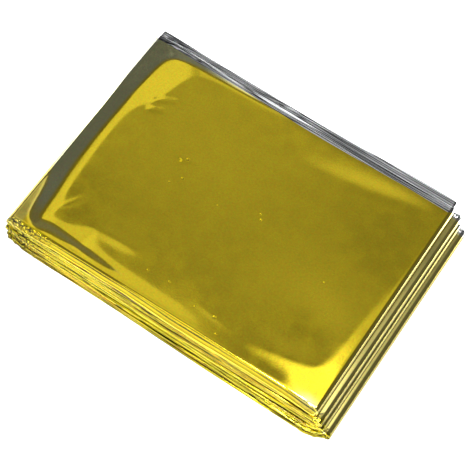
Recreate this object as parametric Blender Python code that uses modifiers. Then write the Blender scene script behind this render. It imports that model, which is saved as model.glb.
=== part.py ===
# An emergency foil blanket, folded for storage: one strip of gathered film laid back and forth in eight layers.
# Metres, +Z up. The origin is under the middle of the pack, on the face that it rests on.
# +X is the end whose folds step out, and -Y is the long side with the tight creases.

import math

import bmesh
import bpy

MM = 0.001

# Driving sizes
PANEL_LENGTH = 131 * MM
PANEL_DEPTH = 100.4 * MM
LAYER_THICKNESS = 1.5 * MM
LEFT_SQUEEZE = 0.92
CROWN = 0.5 * MM
EDGE_ROUNDING = 0.55 * MM
EDGE_WAVE = 0.22 * MM
WAVE_LENGTH = 74 * MM
CORNER_TUCK = 1.4 * MM
CORNER_TUCK_LENGTH = 7 * MM

# How finely the strip is divided
LAYER_SEGMENTS = 8
FOLD_SEGMENTS = 6
DEPTH_SEGMENTS = 10
ROUNDING_SEGMENTS = 2
SMOOTH_ANGLE = math.radians(45)
ROUNDED_FROM_ANGLE = math.radians(60)

# One row for each layer from the bottom up, in millimetres.
# "pitch" is the rise from the layer below. The others are how far the layer's edge passes the top panel's
# outline, at the left and the right end of the front side and of the back side.
LAYER_COLUMNS = ("pitch", "front_left", "front_right", "back_left", "back_right")
LAYERS = (
    (0.00, 2.2, 2.4, -1.6, 0.0),
    (2.65, 2.6, 2.6, -0.9, 0.2),
    (2.05, 2.4, 2.4, -1.9, -0.6),
    (2.00, 2.0, 2.2, -1.0, -0.9),
    (2.05, 2.2, 2.0, -2.1, -0.3),
    (2.10, 1.8, 2.1, -1.2, -0.1),
    (2.05, 2.1, 1.7, -0.8, -0.4),
    (2.30, 1.7, 1.9, 0.2, 0.0),
)

# One row for each fold from the bottom up, in millimetres: how far it passes the top panel's outline at its
# front and back end. Folds alternate between the right and the left end of the pack.
FOLD_COLUMNS = ("end", "reach_front", "reach_back")
FOLDS = (
    ("right", 7.0, 6.3),
    ("left", 2.4, 1.6),
    ("right", 4.8, 4.4),
    ("left", 3.1, 2.2),
    ("right", 3.8, 3.4),
    ("left", 2.6, 2.4),
    ("right", 1.2, 1.1),
)

# The two loose ends of the strip, both at the left.
BOTTOM_END_REACH = 1.8 * MM
TOP_END_REACH = 1.8 * MM

FILM_COLOUR = (0.62, 0.50, 0.03, 1.0)
FILM_ROUGHNESS = 0.2


def clear_scene():
    for obj in list(bpy.data.objects):
        bpy.data.objects.remove(obj, do_unlink=True)


def rows(columns, table):
    return [dict(zip(columns, row)) for row in table]


def mix(first, second, share):
    return first + (second - first) * share


def film_material():
    material = bpy.data.materials.new("gold_film")
    material.use_nodes = True
    shader = material.node_tree.nodes["Principled BSDF"]
    shader.inputs["Base Color"].default_value = FILM_COLOUR
    shader.inputs["Roughness"].default_value = FILM_ROUGHNESS
    shader.inputs["Metallic"].default_value = 1.0
    material.diffuse_color = FILM_COLOUR
    return material


def share_along(x):
    """0 at the left end of the top panel, 1 at its right end."""
    return min(max(x / PANEL_LENGTH + 0.5, 0.0), 1.0)


def layer_height(index, x, y, layers):
    """The middle plane of a layer: squeezed together at the left, and fuller in the middle of the pack."""
    rise = sum(layer["pitch"] for layer in layers[: index + 1]) * MM
    squeeze = mix(LEFT_SQUEEZE, 1.0, share_along(x))
    across = max(0.0, 1 - (2 * x / PANEL_LENGTH) ** 2) * max(0.0, 1 - (2 * y / PANEL_DEPTH) ** 2)
    return LAYER_THICKNESS / 2 + rise * squeeze + CROWN * across * index / (len(layers) - 1)


def edge_wave(index, x, side):
    return EDGE_WAVE * math.sin(2 * math.pi * x / WAVE_LENGTH + 1.9 * index + side)


def corner_tuck(x):
    """The bundle's front edge draws in where it turns over at the left end."""
    past = (CORNER_TUCK_LENGTH - (x + PANEL_LENGTH / 2)) / CORNER_TUCK_LENGTH
    return CORNER_TUCK * min(max(past, 0.0), 1.0) ** 2


def layer_depth(index, x, depth_share, layers):
    """Where a layer's point lies across the pack: share 0 is its front edge, 1 its back edge."""
    layer = layers[index]
    front = mix(layer["front_left"], layer["front_right"], share_along(x)) * MM
    back = mix(layer["back_left"], layer["back_right"], share_along(x)) * MM
    front_edge = -PANEL_DEPTH / 2 - front - edge_wave(index, x, 0.0) + corner_tuck(x)
    back_edge = PANEL_DEPTH / 2 + back + edge_wave(index, x, 2.4)
    return mix(front_edge, back_edge, depth_share)


def fold_centre(index, depth_share, layers, folds):
    """The X of the middle of a fold's half circle, so that its outer face reaches as far as its row says."""
    fold = folds[index]
    side = 1 if fold["end"] == "right" else -1
    outer_radius = (layers[index + 1]["pitch"] * MM + LAYER_THICKNESS) / 2
    reach = mix(fold["reach_front"], fold["reach_back"], depth_share) * MM
    return side * (PANEL_LENGTH / 2 + reach - outer_radius)


def layer_ends(index, depth_share, layers, folds):
    """The X where a layer starts and stops, in the direction that the strip runs in it."""
    if index == 0:
        start = -PANEL_LENGTH / 2 - BOTTOM_END_REACH
    else:
        start = fold_centre(index - 1, depth_share, layers, folds)
    if index == len(layers) - 1:
        stop = -PANEL_LENGTH / 2 - TOP_END_REACH
    else:
        stop = fold_centre(index, depth_share, layers, folds)
    return start, stop


def layer_point(index, run_share, depth_share, layers, folds):
    start, stop = layer_ends(index, depth_share, layers, folds)
    x = mix(start, stop, run_share)
    y = layer_depth(index, x, depth_share, layers)
    return x, y, layer_height(index, x, y, layers)


def fold_point(index, turn_share, depth_share, layers, folds):
    """A point on the half circle between a layer and the one above it."""
    side = 1 if folds[index]["end"] == "right" else -1
    centre = fold_centre(index, depth_share, layers, folds)
    lower_y = layer_depth(index, centre, depth_share, layers)
    upper_y = layer_depth(index + 1, centre, depth_share, layers)
    y = mix(lower_y, upper_y, turn_share)
    lower_z = layer_height(index, centre, lower_y, layers)
    upper_z = layer_height(index + 1, centre, upper_y, layers)
    radius = (upper_z - lower_z) / 2
    turn = math.pi * (turn_share - 0.5)
    x = centre + side * radius * math.cos(turn)
    return x, y, (lower_z + upper_z) / 2 + radius * math.sin(turn)


def strip_stations(layers):
    """The strip's length as (function, index, share) steps: along each layer, then round each fold."""
    stations = []
    for index in range(len(layers)):
        for step in range(LAYER_SEGMENTS + 1):
            stations.append((layer_point, index, step / LAYER_SEGMENTS))
        if index < len(layers) - 1:
            for step in range(1, FOLD_SEGMENTS):
                stations.append((fold_point, index, step / FOLD_SEGMENTS))
    return stations


def folded_strip(collection):
    """A flat grid whose points are laid along the folded strip, then given the bundle's thickness."""
    layers = rows(LAYER_COLUMNS, LAYERS)
    folds = rows(FOLD_COLUMNS, FOLDS)
    stations = strip_stations(layers)
    mesh = bpy.data.meshes.new("foil_blanket")
    bm = bmesh.new()
    bmesh.ops.create_grid(bm, x_segments=len(stations) - 1, y_segments=DEPTH_SEGMENTS, size=0.5)
    for vert in bm.verts:
        place, index, share = stations[round((vert.co.x + 0.5) * (len(stations) - 1))]
        vert.co = place(index, share, vert.co.y + 0.5, layers, folds)
    bm.to_mesh(mesh)
    bm.free()
    strip = bpy.data.objects.new("foil_blanket", mesh)
    collection.objects.link(strip)
    strip.data.materials.append(film_material())

    thickness = strip.modifiers.new("bundle thickness", "SOLIDIFY")
    thickness.thickness = LAYER_THICKNESS
    thickness.offset = 0
    thickness.use_even_offset = True
    rounding = strip.modifiers.new("soft edges", "BEVEL")
    rounding.width = EDGE_ROUNDING
    rounding.segments = ROUNDING_SEGMENTS
    rounding.limit_method = "ANGLE"
    rounding.angle_limit = ROUNDED_FROM_ANGLE
    mesh.shade_smooth()
    mesh.set_sharp_from_angle(angle=SMOOTH_ANGLE)
    return strip


def centre_on_origin(strip):
    """Puts the middle of the pack's outline over the origin."""
    graph = bpy.context.evaluated_depsgraph_get()
    corners = [vert.co for vert in strip.evaluated_get(graph).data.vertices]
    for axis in (0, 1):
        values = [corner[axis] for corner in corners]
        strip.location[axis] = -(min(values) + max(values)) / 2
    strip.location[2] = -min(corner[2] for corner in corners)


def main():
    clear_scene()
    collection = bpy.data.collections.new("emergency_foil_blanket")
    bpy.context.scene.collection.children.link(collection)
    centre_on_origin(folded_strip(collection))


main()
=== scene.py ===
import math

import bmesh
import bpy
import numpy as np
from mathutils import Matrix, Vector


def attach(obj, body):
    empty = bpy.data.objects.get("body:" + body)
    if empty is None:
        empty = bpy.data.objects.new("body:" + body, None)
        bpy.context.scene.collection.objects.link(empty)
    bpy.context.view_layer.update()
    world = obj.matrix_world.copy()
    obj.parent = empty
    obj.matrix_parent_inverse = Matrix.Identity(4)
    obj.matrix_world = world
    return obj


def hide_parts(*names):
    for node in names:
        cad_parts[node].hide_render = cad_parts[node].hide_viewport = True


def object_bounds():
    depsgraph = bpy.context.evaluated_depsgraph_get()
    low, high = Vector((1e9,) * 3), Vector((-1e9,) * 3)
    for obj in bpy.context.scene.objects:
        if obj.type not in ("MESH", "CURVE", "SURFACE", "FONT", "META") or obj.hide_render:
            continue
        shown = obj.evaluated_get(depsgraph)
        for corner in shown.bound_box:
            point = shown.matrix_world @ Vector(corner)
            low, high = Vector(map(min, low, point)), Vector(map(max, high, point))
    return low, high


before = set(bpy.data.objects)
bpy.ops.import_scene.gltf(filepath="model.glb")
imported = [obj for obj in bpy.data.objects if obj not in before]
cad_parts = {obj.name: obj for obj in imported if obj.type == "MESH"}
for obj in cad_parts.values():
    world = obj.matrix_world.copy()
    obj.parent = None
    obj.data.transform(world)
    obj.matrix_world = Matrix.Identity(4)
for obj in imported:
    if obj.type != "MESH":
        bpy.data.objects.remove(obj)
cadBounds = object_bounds()
mm = 0.001

# The folded pack, in millimetres, as the solid has it. The top panel's middle is at x = 0, y = 0.
pack = {
    "panelLength": 131.0,
    "panelDepth": 100.4,
    "layerThickness": 1.5,
    "leftSqueeze": 0.92,  # share of the layers' rise that is left at the left end
    "crown": 0.5,
    "edgeWave": 0.22,
    "waveLength": 74.0,
    "cornerTuck": 0.4,  # less than the solid's: the film's corner is squarer
    "cornerTuckLength": 7.0,
    "endReach": 1.8,  # how far the strip's two loose ends pass the panel
}
# Bottom up: pitch, front left, front right, back left, back right
layerRows = [
    (0.00, 2.2, 2.4, -1.6, 0.0),
    (2.65, 2.6, 2.6, -0.9, 0.2),
    (2.05, 2.4, 2.4, -1.9, -0.6),
    (2.00, 2.0, 2.2, -1.0, -0.9),
    (2.05, 2.2, 2.0, -2.1, -0.3),
    (2.10, 1.8, 2.1, -1.2, -0.1),
    (2.05, 2.1, 1.7, -0.8, -0.4),
    (2.30, 1.7, 1.9, 0.2, 0.0),
]
# Bottom up: side (1 is right), reach at the front, reach at the back
foldRows = [
    (1, 7.0, 6.3),
    (-1, 2.4, 1.6),
    (1, 4.8, 4.4),
    (-1, 3.1, 2.2),
    (1, 3.8, 3.4),
    (-1, 2.6, 2.4),
    (1, 1.2, 1.1),
]

# The film inside each layer: six panels of one sheet, creased at the front and the back in turn.
film = {
    "panels": 6,
    "thickness": 0.035,
    "creaseSteps": 6,
    "creaseBulge": 1.25,  # how far a crease stands out, in half gaps between its two panels
    "edgeRound": 1.0,  # how far in from the edges the bundle starts to close
    "endRound": 1.4,
    "closed": 0.86,  # share of the bundle's thickness that is left at its edge
    "endClosed": 0.45,
    "frontInset": (0.10, 0.26, 0.16),  # of the creases 0-1, 2-3 and 4-5
    "backInset": (0.90, 0.75, 0.10, 0.55),  # cut edge, creases 1-2 and 3-4, cut edge
    "topFrontInset": (1.45, 0.30, 0.10),
    "topBackLeft": (5.2, 3.0, 0.10, 0.6),
    "topBackRight": (6.4, 3.6, 0.10, 0.6),
    "topBackReach": 1.0,  # how far the top bundle's back passes the solid's
    "frontFall": ((49.6, 0.22, 0.10), (50.5, 0.22, 0.10)),  # the top bundle falls away past these y: from, slope, softness
    # How much farther each fold reaches than the solid's, at the front and the back
    "foldExtra": ((1.4, 2.0), (-0.2, 0.4), (0.7, 1.1), (-0.3, 0.8), (0.5, 1.1), (0.0, 2.0), (0.0, 0.0)),
    # And each layer's front, bottom up, at the left and the right
    "frontExtra": ((0.4, 1.8), (0.4, 1.1), (0.3, 0.7), (0.3, 0.3), (0.2, 0.2), (0.1, 0.1), (0.0, 0.0), (0.0, 0.0)),
    "backDip": (-4.0, 28.0, 0.9),  # the top bundle's back draws in here: middle, length, depth
    "cornerReach": (0.9, 16.0),  # the top bundle's back stands out farther towards its left corner
    "rightTuck": (63.0, 9.0, 2.9),  # the lower layers' front edge draws in towards the right end: from, length, depth
    "topEndShort": (0.6, -1.0),  # how far the top layer's loose end stops short of the solid's, front and back
    "insetWander": 0.12,
    "crumple": 0.42,
    "topLift": 0.7,  # the top bundle is fuller than the solid's, inside its falling edges
    "endCurl": (0.9, 0.7),  # radius and fall of the top layer's loose end
    "seed": 7,
}
# How high each panel lies in its bundle along the front, bottom layer first, and along every back
panelHeights = [
    (0.75, 0.52, 0.25, -0.10, -0.45, -0.75),
    (0.75, 0.38, 0.20, -0.25, -0.50, -0.75),
    (0.75, 0.55, 0.35, 0.02, -0.30, -0.75),
    (0.75, 0.30, 0.12, -0.15, -0.42, -0.75),
    (0.75, 0.50, 0.22, -0.30, -0.48, -0.75),
    (0.75, 0.42, 0.10, -0.12, -0.30, -0.75),
    (0.75, 0.58, 0.40, -0.05, -0.22, -0.75),
    (0.75, 0.50, 0.38, -0.45, -0.58, -0.75),
]
backHeights = (0.75, 0.58, 0.06, -0.08, -0.60, -0.75)

# The top panel's relief. Each crease is a line of rows (x, y, slope, width): on the left of its
# direction the film falls away at that slope for that many millimetres.
topPanel = {
    "creaseSoft": 0.45,
    "gridStep": 0.25,  # the relief is worked out on a grid this fine and read from it
    "blur": 0.3,
    "brightCrease": [
        (14, -45.6, 0.000, 2.5), (2, -45.2, 0.030, 2.6), (-12, -44.6, 0.034, 3.5), (-26, -43.9, 0.036, 5.0),
        (-33, -42.4, 0.038, 6.5), (-38, -37.6, 0.038, 7.0), (-43, -39.4, 0.038, 7.0), (-48, -41.6, 0.038, 7.0),
        (-53.5, -41.6, 0.040, 8.0), (-54.2, -36, 0.040, 8.0), (-56.0, -29, 0.040, 8.0), (-57.2, -18, 0.040, 8.0),
        (-57.8, -5, 0.040, 8.0), (-57.6, 8, 0.040, 8.0), (-56.2, 14, 0.040, 10.0), (-52.6, 20, 0.044, 10.0),
        (-49.6, 28, 0.048, 12.0), (-47.6, 35, 0.050, 13.0), (-43.5, 40.4, 0.040, 9.0), (-34, 42.4, 0.030, 8.0),
        (-20, 43.4, 0.022, 6.0), (-4, 44.2, 0.000, 4.0),
    ],
    "darkCrease": [
        (-18, -46.6, 0.000, 0.8), (-26, -46.2, 0.085, 1.3), (-34, -45.4, 0.100, 2.0), (-44, -44.7, 0.105, 2.8),
        (-52, -44.4, 0.105, 3.4), (-57.0, -44.6, 0.100, 4.2), (-58.2, -40, 0.100, 4.6), (-59.0, -31, 0.100, 5.6),
        (-60.2, -20, 0.100, 8.0), (-60.9, -4, 0.100, 8.0), (-60.8, 12, 0.100, 8.5), (-60.4, 28, 0.100, 10.0),
        (-59.4, 38, 0.100, 12.0), (-56.6, 41.8, 0.100, 13.0), (-51, 43.5, 0.100, 11.0), (-40, 44.1, 0.100, 8.0),
        (-22, 44.6, 0.100, 8.0), (-6, 44.8, 0.040, 8.0), (8, 45.0, 0.000, 8.0), (70, 45.0, 0.000, 8.0),
    ],
    "cornerGlow": [
        (63.8, 22, 0.000, 2.5), (62.6, 6, 0.038, 2.8), (61.4, -12, 0.060, 4.0), (60.6, -26, 0.070, 6.0),
        (59.6, -34, 0.070, 12.0), (56.6, -38.4, 0.070, 11.0), (51, -40.0, 0.066, 4.0), (45, -41.0, 0.056, 2.6),
        (38, -42.2, 0.040, 2.0), (30, -43.4, 0.000, 1.5),
    ],
    # Soft ridges: from, to, height, half width
    "ridges": [
        (-40, -36.6, -17, -35.4, 0.100, 1.9),
        (-53, 21.2, -43.5, 27.0, 0.150, 0.8),
        (-53, 16.8, -45, 20.2, 0.140, 0.8),
        (-31, 5.6, -23.5, 8.2, 0.085, 0.8),
        (-54, -37.5, -48, -27.5, 0.060, 0.9),
        (2, 27.5, 64, 40.5, 0.180, 3.9),
        (8, -40.4, 30, -43.6, 0.030, 0.8),
        (20, -46.5, 57, -46.4, -0.035, 1.6),
        (28, -34, 58, -31, -0.07, 5.0),
    ],
    "cornerFall": (63.0, -53.5, 0.50, 4.0),  # x, y, depth, radius
    "swell": 0.035,
    "swellLength": 46.0,
}

camera = {
    "lens": 1600 / 470 * 36,
    "azimuth": 23.404,
    "elevation": 61.713,
    "distance": 596.381,
    "target": (3.086, -5.423, 8.5),
    "roll": 10.868,
}

# Light by direction: u is its x, v its y, as seen from the pack. Each row paints a soft-edged window
# over those before it: u from, u to, v from, v to, softness, brightness.
studio = {
    "ceiling": 0.30,
    "windows": [
        ("soft glow", -0.155, -0.085, 0.390, 0.440, 0.040, 0.48),
        ("left glow", -0.34, -0.19, 0.430, 0.530, 0.050, 0.370),
        ("soft shade", -0.135, 0.10, 0.455, 0.530, 0.022, 0.25),
        ("low shade", -0.150, 0.00, 0.345, 0.405, 0.030, 0.225),
        ("olive corner", -0.36, -0.285, 0.320, 0.400, 0.012, 0.245),
        ("right glow", -0.02, 0.12, 0.330, 0.460, 0.025, 0.57),
        ("back glow", -0.33, 0.05, 0.550, 0.590, 0.028, 0.68),
        ("left light", -0.50, -0.342, -0.30, 0.62, 0.008, 0.76),
        ("front light", -0.50, -0.30, 0.235, 0.345, 0.012, 0.76),
        ("front strip", -0.30, -0.19, 0.235, 0.345, 0.012, 0.66),
        ("dark ceiling", -0.60, 0.02, -0.14, 0.235, 0.020, 0.18),
        ("rim light", -0.24, 0.05, -0.02, 0.08, 0.015, 1.50),
        ("dark corner", -1.20, -0.33, 0.575, 1.20, 0.012, 0.12),
        ("dark back", -1.20, 1.20, 0.598, 1.20, 0.012, 0.19),
        ("light behind", -1.20, -0.26, 0.780, 1.20, 0.030, 0.70),
        ("lighter behind", -0.26, 1.20, 0.670, 1.20, 0.030, 1.40),
        ("dark left", -1.20, -0.410, -0.12, 1.20, 0.010, 0.13),
        ("dark left low", -1.20, -0.400, 0.100, 0.370, 0.010, 0.14),
        ("dark right", 0.16, 1.20, -0.12, 1.20, 0.060, 0.12),
        ("camera side", -1.20, 1.20, -0.56, -0.16, 0.040, 1.15),
        ("low camera side", -1.20, 1.20, -0.90, -0.56, 0.030, 0.75),
        ("olive left", -1.20, -0.400, -1.20, -0.12, 0.020, 0.25),
    ],
    "lamp": (-0.01, 0.28),
    "halo": (0.150, 0.085, 1.15),  # from radius, to radius, brightness
    "core": (-0.09, 0.030, 0.070, 0.020, 40.0),
    "spark": (0.070, 0.160, 0.070, 0.030, 36.0),  # middle, from radius, to radius, brightness
    "tint": (0.97, 0.98, 1.03),
    "floorGlow": (1.8, 1.6, 4.0, 3.2, 0.3),  # as the film sees it: behind, in front, right, left, near left corner
    "floorShade": (1.0, 9.0, 0.05),  # close to the pack: from, to, share of the glow that is left
    "leftShade": 8.5,  # how much farther the shade reaches at the left, in mm
    "floorSeen": 1.7,
    "floorColour": (0.86, 0.86, 0.85),
}


def mix(a, b, share):
    return a + (b - a) * share


def shareAlong(x):
    return np.clip(x / pack["panelLength"] + 0.5, 0.0, 1.0)


def softRamp(distance, soft):  # 0 below zero, then rising at a slope of one
    return 0.5 * (distance + np.sqrt(distance * distance + soft * soft))


def ripple(x, y, length, seed):  # smooth waves in many directions, about -1 to 1
    rng = np.random.default_rng(seed)
    total = 0.0
    for _ in range(7):
        turn, phase = rng.uniform(0, 2 * math.pi, 2)
        step = 2 * math.pi / (length * rng.uniform(0.6, 1.5))
        total = total + np.sin((x * math.cos(turn) + y * math.sin(turn)) * step + phase)
    return total / 3.2


def smoothLine(rows, steps=10):  # a curve through the rows, every column carried along
    p = np.array(rows, float)
    p = np.vstack([2 * p[0] - p[1], p, 2 * p[-1] - p[-2]])
    points = []
    for k in range(1, len(p) - 2):
        for t in np.arange(steps) / steps:
            points.append(0.5 * (2 * p[k] + (p[k + 1] - p[k - 1]) * t
                          + (2 * p[k - 1] - 5 * p[k] + 4 * p[k + 1] - p[k + 2]) * t ** 2
                          + (3 * p[k] - p[k - 1] - 3 * p[k + 1] + p[k + 2]) * t ** 3))
    return np.array(points + [p[-2]])


def crease(rows, x, y, soft):  # height of the film beyond a crease line, and a 0 to 1 share of where it falls away
    line = smoothLine(rows)
    best = np.full(x.shape, 1e9)
    signed, slope, width = np.zeros(x.shape), np.zeros(x.shape), np.ones(x.shape)
    for a, b in zip(line[:-1], line[1:]):
        along = b[:2] - a[:2]
        share = np.clip(((x - a[0]) * along[0] + (y - a[1]) * along[1]) / (along @ along), 0, 1)
        dx, dy = x - a[0] - share * along[0], y - a[1] - share * along[1]
        away = np.hypot(dx, dy)
        nearer = away < best
        side = np.where(along[0] * dy - along[1] * dx >= 0, 1.0, -1.0)
        best = np.where(nearer, away, best)
        signed = np.where(nearer, side * away, signed)
        slope = np.where(nearer, mix(a[2], b[2], share), slope)
        width = np.where(nearer, mix(a[3], b[3], share), width)
    fall = softRamp(signed, soft) - softRamp(signed - np.maximum(width, 0.1), soft)
    falling = np.clip(signed, 0, 1) * np.clip(width - signed, 0, 1) * np.clip(slope / 0.05, 0, 1)
    return -np.maximum(slope, 0.0) * fall, falling


def gridBlur(values):
    reach = int(4 * topPanel["blur"] / topPanel["gridStep"])
    weights = np.exp(-0.5 * (np.arange(-reach, reach + 1) * topPanel["gridStep"] / topPanel["blur"]) ** 2)
    for axis in (0, 1):
        padded = np.pad(values, [(reach, reach) if k == axis else (0, 0) for k in (0, 1)], mode="edge")
        count = values.shape[axis]
        parts = [w * np.take(padded, range(k, k + count), axis) for k, w in enumerate(weights)]
        values = sum(parts) / weights.sum()
    return values


def readGrid(grid, x, y):
    column = np.clip((x + 76) / topPanel["gridStep"], 0, grid.shape[1] - 1.001)
    row = np.clip((y + 58) / topPanel["gridStep"], 0, grid.shape[0] - 1.001)
    i, j = column.astype(int), row.astype(int)
    a, b = column - i, row - j
    low = grid[j, i] * (1 - a) + grid[j, i + 1] * a
    high = grid[j + 1, i] * (1 - a) + grid[j + 1, i + 1] * a
    return low * (1 - b) + high * b


def reliefGrids():
    side = topPanel["gridStep"]
    x, y = np.meshgrid(np.arange(-76, 76, side), np.arange(-58, 58, side))
    soft = topPanel["creaseSoft"]
    height = crease(topPanel["brightCrease"], x, y, soft)[0]
    dark, falling = crease(topPanel["darkCrease"], x, y, soft * 0.8)
    height = height + dark
    height = height + crease(topPanel["cornerGlow"], x, y, soft * 2.4)[0]
    for x0, y0, x1, y1, rise, spread in topPanel["ridges"]:
        length = math.hypot(x1 - x0, y1 - y0)
        ax, ay = (x1 - x0) / length, (y1 - y0) / length
        along = ((x - x0) * ax + (y - y0) * ay) / length
        across = (x - x0) * -ay + (y - y0) * ax
        fade = np.clip(1 - (2 * along - 1) ** 2, 0, 1)
        height = height + rise * fade * np.exp(-0.5 * (across / spread) ** 2)
    cx, cy, depth, radius = topPanel["cornerFall"]
    height = height - depth * np.exp(-0.5 * ((x - cx) ** 2 + (y - cy) ** 2) / radius ** 2)
    height = height + topPanel["swell"] * ripple(x, y, topPanel["swellLength"], 3)
    return gridBlur(height), falling


relief, darkFall = reliefGrids()


def layerHeight(index, x, y):
    rise = sum(row[0] for row in layerRows[: index + 1])
    squeeze = mix(pack["leftSqueeze"], 1.0, shareAlong(x))
    across = np.maximum(0, 1 - (2 * x / pack["panelLength"]) ** 2)
    across = across * np.maximum(0, 1 - (2 * y / pack["panelDepth"]) ** 2)
    share = index / (len(layerRows) - 1)
    height = pack["layerThickness"] / 2 + rise * squeeze + pack["crown"] * across * share
    if index:
        height = height + (film["topLift"] + readGrid(relief, x, y)) * share ** 3
    if index == len(layerRows) - 1:
        radius, fall = film["endCurl"]
        short = mix(*film["topEndShort"], np.clip(y / pack["panelDepth"] + 0.5, 0, 1))
        t = np.clip((-pack["panelLength"] / 2 - pack["endReach"] + short + radius - x) / radius, 0, 1)
        height = height - fall * (1 - np.sqrt(1 - t ** 2 * 0.999))
        for start, slope, soft in film["frontFall"]:
            height = height - slope * softRamp(-start - y, soft)
    return height


def edges(index, x):  # the layer's front and back edge at x
    row = layerRows[index]
    wave = 2 * math.pi * x / pack["waveLength"] + 1.9 * index
    past = np.clip((pack["cornerTuckLength"] - (x + pack["panelLength"] / 2)) / pack["cornerTuckLength"], 0, 1)
    front = mix(row[1], row[2], shareAlong(x)) + pack["edgeWave"] * np.sin(wave)
    front = front + mix(*film["frontExtra"][index], shareAlong(x)) * (1 - past)
    back = mix(row[3], row[4], shareAlong(x)) + pack["edgeWave"] * np.sin(wave + 2.4)
    if index == len(layerRows) - 1:
        reach, length = film["cornerReach"]
        middle, dip, depth = film["backDip"]
        back = back + film["topBackReach"] + reach * np.exp(-((x + pack["panelLength"] / 2) / length) ** 2)
        back = back - depth * np.exp(-((x - middle) / dip) ** 2)
    start, length, depth = film["rightTuck"]
    tuck = pack["cornerTuck"] * past ** 2 + depth * np.clip((x - start) / length, 0, 1) ** 2 * (index < 3)
    half = pack["panelDepth"] / 2
    return -half - front + tuck, half + back


def foldCentre(index, depth):
    side, front, back = foldRows[index]
    outer = (layerRows[index + 1][0] + pack["layerThickness"]) / 2
    return side * (pack["panelLength"] / 2 + mix(front, back, depth) + mix(*film["foldExtra"][index], depth) - outer)


def graded(*parts):  # shares from 0 to 1 out of (length, steps) parts
    places = [0.0]
    for length, steps in parts:
        places += list(places[-1] + length * np.arange(1, steps + 1) / steps)
    return np.array(places) / places[-1]


def layerShares(index):  # where a layer's stations are, in the direction that the strip runs
    if index == len(layerRows) - 1:
        return graded((8, 8), (100, 60), (22, 36), (3.2, 9))
    shares = graded((14, 13), (14, 5), (75, 4), (14, 6), (14, 9))
    return shares if index % 2 == 0 else 1 - shares[::-1]


def stripStations():  # (is a fold, index, share) along the strip
    stations = []
    for index in range(len(layerRows)):
        stations += [(False, index, share) for share in layerShares(index)]
        if index < len(foldRows):
            stations += [(True, index, (k + 1) / 11) for k in range(10)]
    return stations


def filmColumns(fine):  # (panel, share from front to back, crease turn) across the film
    first = graded((2.2, 7), (13, 19), (50, 36), (13, 14), (12, 10), (6, 9))
    if not fine:
        first = first[[0, 1, 3, 5, 7, 10, 14, 20, 26, 34, 46, 56, 62, 68, 72, 76, 82, 86, 89, 91, 93, 94, 95]]
    plain = np.array([0.0, 0.006, 0.0095, 0.02, 0.5, 0.985, 1.0])
    columns = []
    for panel in range(film["panels"]):
        shares = first if panel == 0 else plain
        for share in shares[::-1] if panel % 2 == 0 else shares:
            columns.append((panel, share, 0.0))
        if panel < film["panels"] - 1:
            for k in range(1, film["creaseSteps"]):
                columns.append((panel, 0.0 if panel % 2 == 0 else 1.0, k / film["creaseSteps"]))
    return columns


def insets(index, x):  # how far each panel's two edges stay inside the layer's outline
    rng = np.random.default_rng(film["seed"] + index)
    top = index == len(layerRows) - 1
    share = shareAlong(x)
    corner = np.exp(-((x + 67) / 10) ** 2) + 0.6 * np.exp(-((x - 69) / 8) ** 2)
    front, back = [], []
    for k, inset in enumerate(film["topFrontInset"] if top else film["frontInset"]):
        wander = ripple(x, 0 * x, 21, rng.integers(9999)) * film["insetWander"]
        rough = ripple(x, 0 * x, 2.8, rng.integers(9999)) * film["crumple"] * corner * (0.3 if top else 1.0)
        front.append(np.maximum(0.0, inset + wander + rough + (0 if top else rng.uniform(-0.1, 0.16))))
    for k, inset in enumerate(film["backInset"]):
        wander = ripple(x, 0 * x, 26, rng.integers(9999)) * film["insetWander"]
        if top:
            inset = mix(film["topBackLeft"][k], film["topBackRight"][k], share)
        back.append(np.maximum(0.0, inset + wander * (0.35 if top else 1.0) + (0 if top else rng.uniform(-0.25, 0.3))))
    return front, back


def closing(distance, reach, closed):  # the bundle's share of full thickness at this distance from its edge
    t = np.clip(1 - distance / reach, 0, 1)
    return closed + (1 - closed) * np.sqrt(1 - t ** 2)


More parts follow.
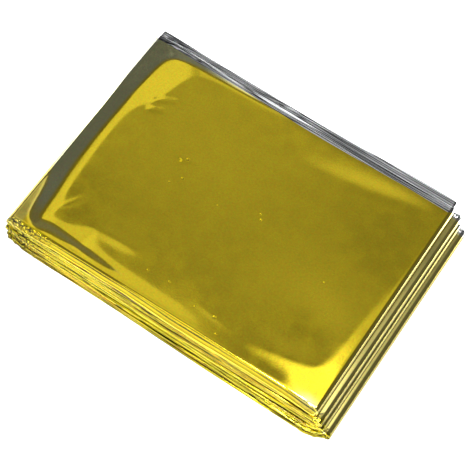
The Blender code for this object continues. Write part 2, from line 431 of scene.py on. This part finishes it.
def stationPoints(station, columns):
    isFold, index, run = station
    panel = np.array([c[0] for c in columns])
    share = np.array([c[1] for c in columns])
    turn = np.array([c[2] for c in columns]) * math.pi
    last = len(layerRows) - 1
    upper = index + 1 if isFold else index
    front = np.array(panelHeights[index]) * (1 - run) + np.array(panelHeights[upper]) * run
    spread = mix(front[panel], np.array(backHeights)[panel], share)
    after = np.minimum(panel + 1, film["panels"] - 1)
    spreadAfter = mix(front[after], np.array(backHeights)[after], share)
    offset = mix(spread, spreadAfter, (1 - np.cos(turn)) / 2)
    atFront, atBack = panel // 2, (panel + 1) // 2
    if isFold:
        side = foldRows[index][0]
        x = foldCentre(index, share)
        lower, upper = edges(index, x), edges(index + 1, x)
        front, back = mix(lower[0], upper[0], run), mix(lower[1], upper[1], run)
        lowInset, upInset = insets(index, x), insets(index + 1, x)
        fronts = [mix(a, b, run) for a, b in zip(lowInset[0], upInset[0])]
        backs = [mix(a, b, run) for a, b in zip(lowInset[1], upInset[1])]
    else:
        start = foldCentre(index - 1, share) if index else -pack["panelLength"] / 2 - pack["endReach"]
        stop = foldCentre(index, share) if index < last else -pack["panelLength"] / 2 - pack["endReach"] + mix(*film["topEndShort"], share)
        x = start + (stop - start) * run + 0 * share
        front, back = edges(index, x)
        fronts, backs = insets(index, x)
    y = mix(front + np.choose(atFront, fronts), back - np.choose(atBack, backs), share)
    thick = closing(y - front, film["edgeRound"], film["closed"]) * closing(back - y, film["edgeRound"], film["closed"])
    if not isFold and index in (0, last):
        away = np.abs(x + pack["panelLength"] / 2 + pack["endReach"])
        thick = thick * closing(away, film["endRound"], film["endClosed"])
    radius = np.abs(spreadAfter - spread) * thick / 2 * np.sin(turn) * film["creaseBulge"]
    y = y + np.where(share > 0.5, radius, -radius)
    away = offset * thick
    if isFold:
        lowZ, upZ = layerHeight(index, x, y), layerHeight(index + 1, x, y)
        angle = math.pi * (run - 0.5)
        reach = (upZ - lowZ) / 2 + side * away
        return np.stack([x + side * reach * math.cos(angle), y, (lowZ + upZ) / 2 + reach * math.sin(angle)], -1)
    return np.stack([x, y, layerHeight(index, x, y) + (1 if index % 2 else -1) * away], -1)


def shadeBetween(points, count):  # 1 where the layers above and below cover the film, 0 at its edges
    stations = stripStations()[:count]
    x, y = points[..., 0], points[..., 1]
    layer = np.array([s[1] for s in stations])[:, None]
    front = np.array([edges(s[1], x[k])[0] for k, s in enumerate(stations)])
    back = np.array([edges(s[1], x[k])[1] for k, s in enumerate(stations)])
    inside = np.clip((y - front - 0.2) / 0.3, 0, 1) * np.clip((back - y - 0.8) / 0.5, 0, 1)
    return inside * np.clip((64.5 - np.abs(x)) / 1.5, 0, 1) * (layer < len(layerRows) - 1)


def filmMesh():  # a coarser grid up to the top fold, a finer one for it and the top layer, joined along one row
    stations = stripStations()
    seam = next(k for k, s in enumerate(stations) if s[0] and s[1] == len(foldRows) - 1)
    coarse, fine = filmColumns(False), filmColumns(True)
    low = np.array([stationPoints(s, coarse) for s in stations[:seam]])
    high = np.array([stationPoints(s, fine) for s in stations[seam:]])
    # painted shade on the top block's panels that lie under others
    under = np.array([float(c[0] > 1 and 0.009 < c[1] < 0.9) for c in fine])
    shade = np.concatenate([shadeBetween(low, seam).ravel(), np.tile(under, high.shape[0])])
    faces = []
    for block, first in ((low, 0), (high, low.shape[0] * low.shape[1])):
        n = np.arange(block.shape[0] * block.shape[1]).reshape(block.shape[:2]) + first
        faces += np.stack([n[:-1, :-1], n[1:, :-1], n[1:, 1:], n[:-1, 1:]], -1).reshape(-1, 4).tolist()
    rowLow = (low.shape[0] - 1) * low.shape[1]
    rowHigh = low.shape[0] * low.shape[1]
    at = [fine.index(c) for c in coarse]
    for k in range(len(coarse) - 1):
        faces.append([rowLow + k, *range(rowHigh + at[k], rowHigh + at[k + 1] + 1), rowLow + k + 1])
    print("film: strip of", len(stations), "rows,", len(faces), "faces")
    along = np.linalg.norm(np.diff(low[:, 12], axis=0), axis=1).sum() + np.linalg.norm(np.diff(high[:, 50], axis=0), axis=1).sum()
    across = np.linalg.norm(np.diff(high[60], axis=0), axis=1).sum()
    return np.vstack([low.reshape(-1, 3), high.reshape(-1, 3)]), faces, shade, low.shape[0] * low.shape[1], (across * mm, along * mm)


def filmSheet():
    flat, faces, paintedShade, topFrom, flatSize = filmMesh()
    low, high = flat.min(0), flat.max(0)
    centre = (low + high) / 2
    target = (cadBounds[0] + cadBounds[1]) / 2
    shift = np.array([target.x / mm - centre[0], target.y / mm - centre[1], film["thickness"] / 2 - low[2]])
    mesh = bpy.data.meshes.new("foil_film")
    mesh.from_pydata(((flat + shift) * mm).tolist(), [], faces)
    mesh.update()
    mesh.shade_smooth()
    sharp = bmesh.new()
    sharp.from_mesh(mesh)
    for edge in sharp.edges:
        edge.smooth = not edge.is_boundary
    sharp.to_mesh(mesh)
    sharp.free()
    piece = bpy.data.objects.new("foil_film", mesh)
    bpy.context.scene.collection.objects.link(piece)
    x, y = flat[:, 0], flat[:, 1]
    # Painted reflection tint: paler, greyer gold where the film falls away past the dark crease, on the right folds, at
    # the near right corner and along the left edge
    paleReflection = readGrid(darkFall, x, y) * mix(0.45, 1.0, np.clip((y + 44) / 6, 0, 1))
    turned = np.clip((x - 65.2) / 0.8, 0, 1)
    turnedEnd = turned * np.clip((y - 47.6) / 0.8, 0, 1)
    paleReflection = np.maximum(paleReflection, np.maximum(0.5 * turned, turnedEnd))
    paleReflection = np.maximum(paleReflection, 0.75 * np.exp(-((x - 61.5) / 4.0) ** 2 - ((y + 49.4) / 2.0) ** 2))
    paleReflection = np.maximum(paleReflection, 0.3 * np.clip((-61.5 - x) / 1.0, 0, 1))
    # Painted shade: darker gold near the top layer's back cut edge, from x = -20 rightwards
    backEdgeShade = 0.4 * np.clip((y - 40.5) / 4, 0, 1) * np.clip((x + 20) / 15, 0, 1) * np.clip((66 - x) / 2, 0, 1)
    # Painted shade: a dark outline along the lower layers' outermost left edge
    leftOutlineShade = 0.8 * np.clip((-67.9 - 1.2 * np.clip(y / 100 + 0.5, 0, 1) - x) / 0.2, 0, 1)
    paintedShade = np.maximum(paintedShade, np.where(np.arange(len(x)) < topFrom, leftOutlineShade, backEdgeShade))
    front = np.clip((-49.6 - y) / 0.8, 0, 1)
    side = front * np.where(np.arange(len(x)) < topFrom, 1.0, 0.25)
    ends = 1.5 * np.exp(-((x + 68) / 15) ** 2) + 0.5 * np.exp(-((x - 70) / 8) ** 2)
    # Silver at the right folds' turned back ends; along the left edge the same silver is a painted highlight that
    # whitens the pale line
    silverAndPaintedHighlight = turned * np.clip((y - 46.6) / 0.8, 0, 1)
    silverAndPaintedHighlight = np.maximum(silverAndPaintedHighlight, 0.5 * np.clip((-66.9 - x) / 0.6, 0, 1) * np.clip((y - 5) / 20, 0, 1))
    masks = {"paleReflectionTint": paleReflection, "silverAndPaintedHighlight": silverAndPaintedHighlight, "sideLines": side, "crumpled": np.clip(front * ends + 0.7 * turnedEnd, 0, 1), "paintedShade": paintedShade}
    for name, values in masks.items():
        mesh.attributes.new(name, "FLOAT", "POINT").data.foreach_set("value", values.astype(np.float32))
    wall = piece.modifiers.new("film wall", "SOLIDIFY")
    wall.thickness = film["thickness"] * mm
    wall.offset = 0
    wall.material_offset = 1
    wall.material_offset_rim = 1
    return piece, shift, flatSize


def addNode(tree, kind, inputs=None, **settings):
    node = tree.nodes.new(kind)
    for name, value in settings.items():
        setattr(node, name, value)
    for name, value in (inputs or {}).items():
        if isinstance(value, bpy.types.NodeSocket):
            tree.links.new(value, node.inputs[name])
        else:
            node.inputs[name].default_value = value
    return node


def calc(tree, operation, a, b=0.0, clamp=False):
    return addNode(tree, "ShaderNodeMath", {0: a, 1: b}, operation=operation, use_clamp=clamp).outputs[0]


def step(tree, value, low, high, start=0.0, end=1.0):  # a soft step between two values
    inputs = {"Value": value, "From Min": low, "From Max": high, "To Min": start, "To Max": end}
    return addNode(tree, "ShaderNodeMapRange", inputs, interpolation_type="SMOOTHSTEP").outputs[0]


finish = {
    "gold": (1.0, 0.748, 0.010),
    "paleReflectionGold": (0.84, 0.82, 0.40),  # paler, greyer gold: a painted tint of the reflections along the falling edges, on the right folds and at the near right corner
    # a lighter, yellower copy of the gold on the front creases, seen edge on: painted light for how that side is lit
    "litFrontGold": (1.0, 0.87, 0.05),
    "warmGold": (1.0, 0.60, 0.06),  # the warmer streaks among them  # the creases at the front, seen edge on
    "silver": (0.76, 0.77, 0.74),
    "roughness": (0.055, 0.10),
    "coat": 0.6,
    "grain": 0.5,  # mm
    "grainHeight": 0.004,
    "grainColour": 0.5,
    "lineSize": 0.85,
    "lineCount": 7.0,  # how many thin lines lie in the pattern's range
    "lineHeight": 0.16,
    "silverLineHeight": 0.14,
    "betweenShade": 0.14,
    "crumpleSize": 0.65,
    "crumpleHeight": 0.30,
    "dimple": 3.5,
    "dimpleHeight": 0.004,
    # Tiny dents with a glint: x, y, radius, depth, in the panel's millimetres
    "dents": [
        (-27, 6.8, 1.0, 0.090), (-29.5, 5.0, 1.4, 0.060), (-24, -1.2, 0.8, 0.075), (-27.2, -5.2, 0.6, 0.054),
        (-7, -3.2, 0.5, 0.045), (9.4, 1.0, 0.7, 0.054), (8.0, 3.0, 0.6, 0.045), (42, -7.4, 0.5, 0.045),
        (-13, -40, 0.6, 0.045), (-4, -39.4, 0.6, 0.045), (9, -42.4, 0.6, 0.045), (17, -41.8, 0.9, 0.045),
        (21, -47, 0.6, 0.045),
    ],
}


def filmMaterial(name, gold, shift):
    material = bpy.data.materials.new(name)
    material.use_nodes = True
    tree = material.node_tree
    shader = tree.nodes["Principled BSDF"]
    place = addNode(tree, "ShaderNodeTexCoord").outputs["Object"]
    mottle = addNode(tree, "ShaderNodeTexNoise", {"Vector": place, "Scale": 160.0, "Detail": 4.0}).outputs[0]
    grain = addNode(tree, "ShaderNodeTexNoise", {"Vector": place, "Scale": 1 / (finish["grain"] * mm), "Detail": 2.0}).outputs[0]
    dimple = addNode(tree, "ShaderNodeTexNoise", {"Vector": place, "Scale": 1 / (finish["dimple"] * mm), "Detail": 1.0}).outputs[0]
    height = calc(tree, "ADD", calc(tree, "MULTIPLY", grain, finish["grainHeight"]), calc(tree, "MULTIPLY", dimple, finish["dimpleHeight"]))
    along = addNode(tree, "ShaderNodeVectorMath", {0: place, 1: (0.012, 0.7, 1) if gold else (0.004, 0.6, 0.8)}, operation="MULTIPLY").outputs[0]
    lines = addNode(tree, "ShaderNodeTexNoise", {"Vector": along, "Scale": 1 / (finish["lineSize"] * mm), "Detail": 1.0}).outputs[0]
    level = calc(tree, "ABSOLUTE", calc(tree, "SUBTRACT", calc(tree, "FRACT", calc(tree, "MULTIPLY", lines, finish["lineCount"])), 0.5))
    if gold:
        folds = addNode(tree, "ShaderNodeTexNoise", {"Vector": place, "Scale": 1 / (finish["crumpleSize"] * mm), "Detail": 2.0}).outputs[0]
        for name, pattern, rise in (("sideLines", lines, finish["lineHeight"]), ("crumpled", folds, finish["crumpleHeight"])):
            share = addNode(tree, "ShaderNodeAttribute", attribute_name=name).outputs["Fac"]
            height = calc(tree, "ADD", height, calc(tree, "MULTIPLY", calc(tree, "MULTIPLY", pattern, rise), share))
        # painted reflection tint: the paler, greyer gold mixed in by its mask
        paleReflection = addNode(tree, "ShaderNodeAttribute", attribute_name="paleReflectionTint").outputs["Fac"]
        colour = addNode(tree, "ShaderNodeMix", {"Factor": paleReflection, "A": (*finish["gold"], 1), "B": (*finish["paleReflectionGold"], 1)}, data_type="RGBA")
        colour.inputs[6].default_value = (*finish["gold"], 1)
        colour.inputs[7].default_value = (*finish["paleReflectionGold"], 1)
        side = addNode(tree, "ShaderNodeAttribute", attribute_name="sideLines").outputs["Fac"]
        # the front creases take the lighter gold copy, painted light
        colour = addNode(tree, "ShaderNodeMix", {"Factor": side, 6: colour.outputs[2], 7: (*finish["litFrontGold"], 1)}, data_type="RGBA")
        # silver at the turned ends, and a painted highlight along the left edge
        silverAndPaintedHighlight = addNode(tree, "ShaderNodeAttribute", attribute_name="silverAndPaintedHighlight").outputs["Fac"]
        colour = addNode(tree, "ShaderNodeMix", {"Factor": silverAndPaintedHighlight, 6: colour.outputs[2], 7: (*finish["silver"], 1)}, data_type="RGBA")
        warm = calc(tree, "MULTIPLY", side, step(tree, lines, 0.53, 0.62, 0, 0.55))
        colour = addNode(tree, "ShaderNodeMix", {"Factor": warm, 6: colour.outputs[2], 7: (*finish["warmGold"], 1)}, data_type="RGBA")
        # painted shade: thin dark lines on the front, between the film's thicknesses
        lineAndCrumpleShade = calc(tree, "MULTIPLY", side, step(tree, level, 0.20, 0.09, 0, 0.80))
        ends = addNode(tree, "ShaderNodeAttribute", attribute_name="crumpled").outputs["Fac"]
        # painted shade: dark specks in the hollows of the crumpled ends
        crumpleShade = calc(tree, "MULTIPLY", ends, step(tree, folds, 0.48, 0.45, 0, 0.92))
        lineAndCrumpleShade = calc(tree, "MAXIMUM", lineAndCrumpleShade, crumpleShade)
        # painted shade where layers cover the film, near the top layer's back cut edge and at the left outline
        paintedShadeShare = addNode(tree, "ShaderNodeAttribute", attribute_name="paintedShade").outputs["Fac"]
        paintedLightShare = calc(tree, "MULTIPLY", calc(tree, "SUBTRACT", 1.0, lineAndCrumpleShade), step(tree, paintedShadeShare, 0, 1, 1, finish["betweenShade"]))
        base = addNode(tree, "ShaderNodeVectorMath", {0: colour.outputs[2], "Scale": paintedLightShare}, operation="SCALE").outputs[0]
        for x, y, radius, depth in finish["dents"]:
            spot = (np.array([x, y, 0]) + shift) * mm
            flat = addNode(tree, "ShaderNodeVectorMath", {0: place, 1: (1, 1, 0)}, operation="MULTIPLY").outputs[0]
            away = addNode(tree, "ShaderNodeVectorMath", {0: flat, 1: (spot[0], spot[1], 0)}, operation="DISTANCE").outputs["Value"]
            height = calc(tree, "ADD", height, step(tree, away, 0.0, radius * mm, -depth, 0.0))
    else:
        height = calc(tree, "ADD", height, calc(tree, "MULTIPLY", lines, finish["silverLineHeight"]))
        base = addNode(tree, "ShaderNodeMix", data_type="RGBA")
        base.inputs[0].default_value = 0.0
        base.inputs[6].default_value = (*finish["silver"], 1)
        # painted highlight and painted shade: the crinkle lines, also in the bump, are drawn brighter and darker in the
        # silver
        paintedLightShare = calc(tree, "MULTIPLY", step(tree, level, 0.28, 0.36, 0.70, 1.3), step(tree, level, 0.22, 0.11, 1, 0.14))
        base = addNode(tree, "ShaderNodeVectorMath", {0: base.outputs[2], "Scale": paintedLightShare}, operation="SCALE").outputs[0]
    shade = step(tree, mottle, 0.3, 0.7, 0.95, 1.0)
    fine = {"Vector": place, "Scale": 0.7 / (finish["grain"] * mm), "Detail": 3.0}
    speckle = addNode(tree, "ShaderNodeTexNoise", fine).outputs["Color"]
    amount = finish["grainColour"]
    speckle = addNode(tree, "ShaderNodeVectorMath", {0: speckle, 1: (amount,) * 3, 2: (1 - amount / 2,) * 3}, operation="MULTIPLY_ADD").outputs[0]
    tint = addNode(tree, "ShaderNodeVectorMath", {0: base, "Scale": shade}, operation="SCALE").outputs[0]
    tint = addNode(tree, "ShaderNodeVectorMath", {0: tint, 1: speckle}, operation="MULTIPLY").outputs[0]
    tree.links.new(tint, shader.inputs["Base Color"])
    tree.links.new(step(tree, mottle, 0.35, 0.65, *finish["roughness"]), shader.inputs["Roughness"])
    bump = addNode(tree, "ShaderNodeBump", {"Height": height, "Distance": mm, "Strength": 1.0}).outputs[0]
    tree.links.new(bump, shader.inputs["Normal"])
    shader.inputs["Metallic"].default_value = 1.0
    shader.inputs["Coat Weight"].default_value = finish["coat"]
    shader.inputs["Coat Roughness"].default_value = 0.06
    material.diffuse_color = (*(finish["gold"] if gold else finish["silver"]), 1)
    return material


def addFloor():
    side = 3.0
    mesh = bpy.data.meshes.new("floor")
    mesh.from_pydata([(-side, -side, 0), (side, -side, 0), (side, side, 0), (-side, side, 0)], [], [(0, 1, 2, 3)])
    floor = bpy.data.objects.new("floor", mesh)
    bpy.context.scene.collection.objects.link(floor)
    material = bpy.data.materials.new("pale floor")
    material.use_nodes = True
    shader = material.node_tree.nodes["Principled BSDF"]
    shader.inputs["Base Color"].default_value = (*studio["floorColour"], 1)
    shader.inputs["Roughness"].default_value = 0.9
    shader.inputs["Specular IOR Level"].default_value = 0.1
    shader.inputs["Emission Color"].default_value = (1, 1, 1, 1)
    # The film sees the floor brighter at its right end and darker on the near side
    tree = material.node_tree
    place = addNode(tree, "ShaderNodeTexCoord").outputs["Object"]
    x, y, z = addNode(tree, "ShaderNodeSeparateXYZ", {0: place}).outputs
    behind, front, right, left, corner = studio["floorGlow"]
    glow = step(tree, y, -0.040, -0.056, behind, front)
    for low, high, bright in ((0.055, 0.068, right), (-0.060, -0.068, step(tree, y, -0.020, 0.012, corner, left))):
        more = calc(tree, "MULTIPLY", step(tree, x, low, high), calc(tree, "SUBTRACT", bright, glow))
        if low < 0:
            more = calc(tree, "MULTIPLY", more, step(tree, y, -0.060, -0.050))
        glow = calc(tree, "ADD", glow, more)
    outX = calc(tree, "SUBTRACT", cadBounds[0].x - studio["leftShade"] * mm, x)
    outY = calc(tree, "SUBTRACT", calc(tree, "ABSOLUTE", y), cadBounds[1].y)
    near, far, left = studio["floorShade"]
    glow = calc(tree, "MULTIPLY", glow, step(tree, calc(tree, "MAXIMUM", outX, outY), near * mm, far * mm, left, 1.0))
    seen = addNode(tree, "ShaderNodeLightPath").outputs["Is Camera Ray"]
    rest = calc(tree, "MULTIPLY", glow, calc(tree, "SUBTRACT", 1.0, seen))
    strength = calc(tree, "ADD", rest, calc(tree, "MULTIPLY", seen, studio["floorSeen"]))
    tree.links.new(strength, shader.inputs["Emission Strength"])
    mesh.materials.append(material)


def addLight():
    world = bpy.data.worlds.new("soft studio")
    bpy.context.scene.world = world
    world.use_nodes = True
    tree = world.node_tree
    direction = addNode(tree, "ShaderNodeTexCoord").outputs["Generated"]
    split = addNode(tree, "ShaderNodeSeparateXYZ", {0: direction})
    u, v, w = split.outputs
    light = studio["ceiling"]
    for name, u0, u1, v0, v1, soft, bright in studio["windows"]:
        inside = calc(tree, "MULTIPLY", step(tree, u, u0 - soft, u0 + soft), step(tree, u, u1 + soft, u1 - soft))
        inside = calc(tree, "MULTIPLY", inside, step(tree, v, v0 - soft, v0 + soft))
        inside = calc(tree, "MULTIPLY", inside, step(tree, v, v1 + soft, v1 - soft))
        light = addNode(tree, "ShaderNodeMix", {"Factor": inside}, data_type="FLOAT", label=name), light, bright
        node, before, bright = light
        if isinstance(before, bpy.types.NodeSocket):
            tree.links.new(before, node.inputs[2])
        else:
            node.inputs[2].default_value = before
        node.inputs[3].default_value = bright
        light = node.outputs[0]
    flat = addNode(tree, "ShaderNodeCombineXYZ", {0: u, 1: v}).outputs[0]
    for lampU, lampV, outer, inner, power in ((*studio["lamp"], *studio["halo"]), studio["core"], studio["spark"]):
        away = addNode(tree, "ShaderNodeVectorMath", {0: flat, 1: (lampU, lampV, 0)}, operation="DISTANCE").outputs["Value"]
        lamp = calc(tree, "MULTIPLY", step(tree, away, outer, inner, 0, power), step(tree, w, 0.0, 0.1))
        light = calc(tree, "ADD", light, lamp)
    background = tree.nodes["Background"]
    tint = addNode(tree, "ShaderNodeVectorMath", {0: studio["tint"], "Scale": light}, operation="SCALE").outputs[0]
    tree.links.new(tint, background.inputs["Color"])
    backdrop = addNode(tree, "ShaderNodeBackground", {"Color": (1, 1, 1, 1), "Strength": 1.6})
    seen = addNode(tree, "ShaderNodeLightPath").outputs["Is Camera Ray"]
    both = addNode(tree, "ShaderNodeMixShader", {0: seen, 1: background.outputs[0], 2: backdrop.outputs[0]})
    tree.links.new(both.outputs[0], tree.nodes["World Output"].inputs[0])


def addCamera(shift):
    azimuth, elevation, roll = (math.radians(camera[k]) for k in ("azimuth", "elevation", "roll"))
    back = Vector((math.sin(azimuth) * math.cos(elevation), -math.cos(azimuth) * math.cos(elevation), math.sin(elevation)))
    right = Vector((math.cos(azimuth), math.sin(azimuth), 0))
    up = back.cross(right)
    right, up = right * math.cos(roll) + up * math.sin(roll), up * math.cos(roll) - right * math.sin(roll)
    place = (Vector(camera["target"]) + Vector((shift[0], shift[1], 0)) + back * camera["distance"]) * mm
    data = bpy.data.cameras.new("camera")
    data.lens = camera["lens"]
    eye = bpy.data.objects.new("camera", data)
    bpy.context.scene.collection.objects.link(eye)
    eye.matrix_world = Matrix.Translation(place) @ Matrix((right, up, back)).transposed().to_4x4()
    bpy.context.scene.camera = eye


piece, shift, flatSize = filmSheet()
piece.data.materials.append(filmMaterial("gold_film", True, shift))
piece.data.materials.append(filmMaterial("silver_film", False, shift))
print("shift", [round(float(s), 3) for s in shift])
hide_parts("foil_blanket")
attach(piece, "root")
print("film ready")

addFloor()
addLight()
addCamera(shift)
bpy.context.scene.view_settings.view_transform = "Standard"
print("floor, light and camera ready")
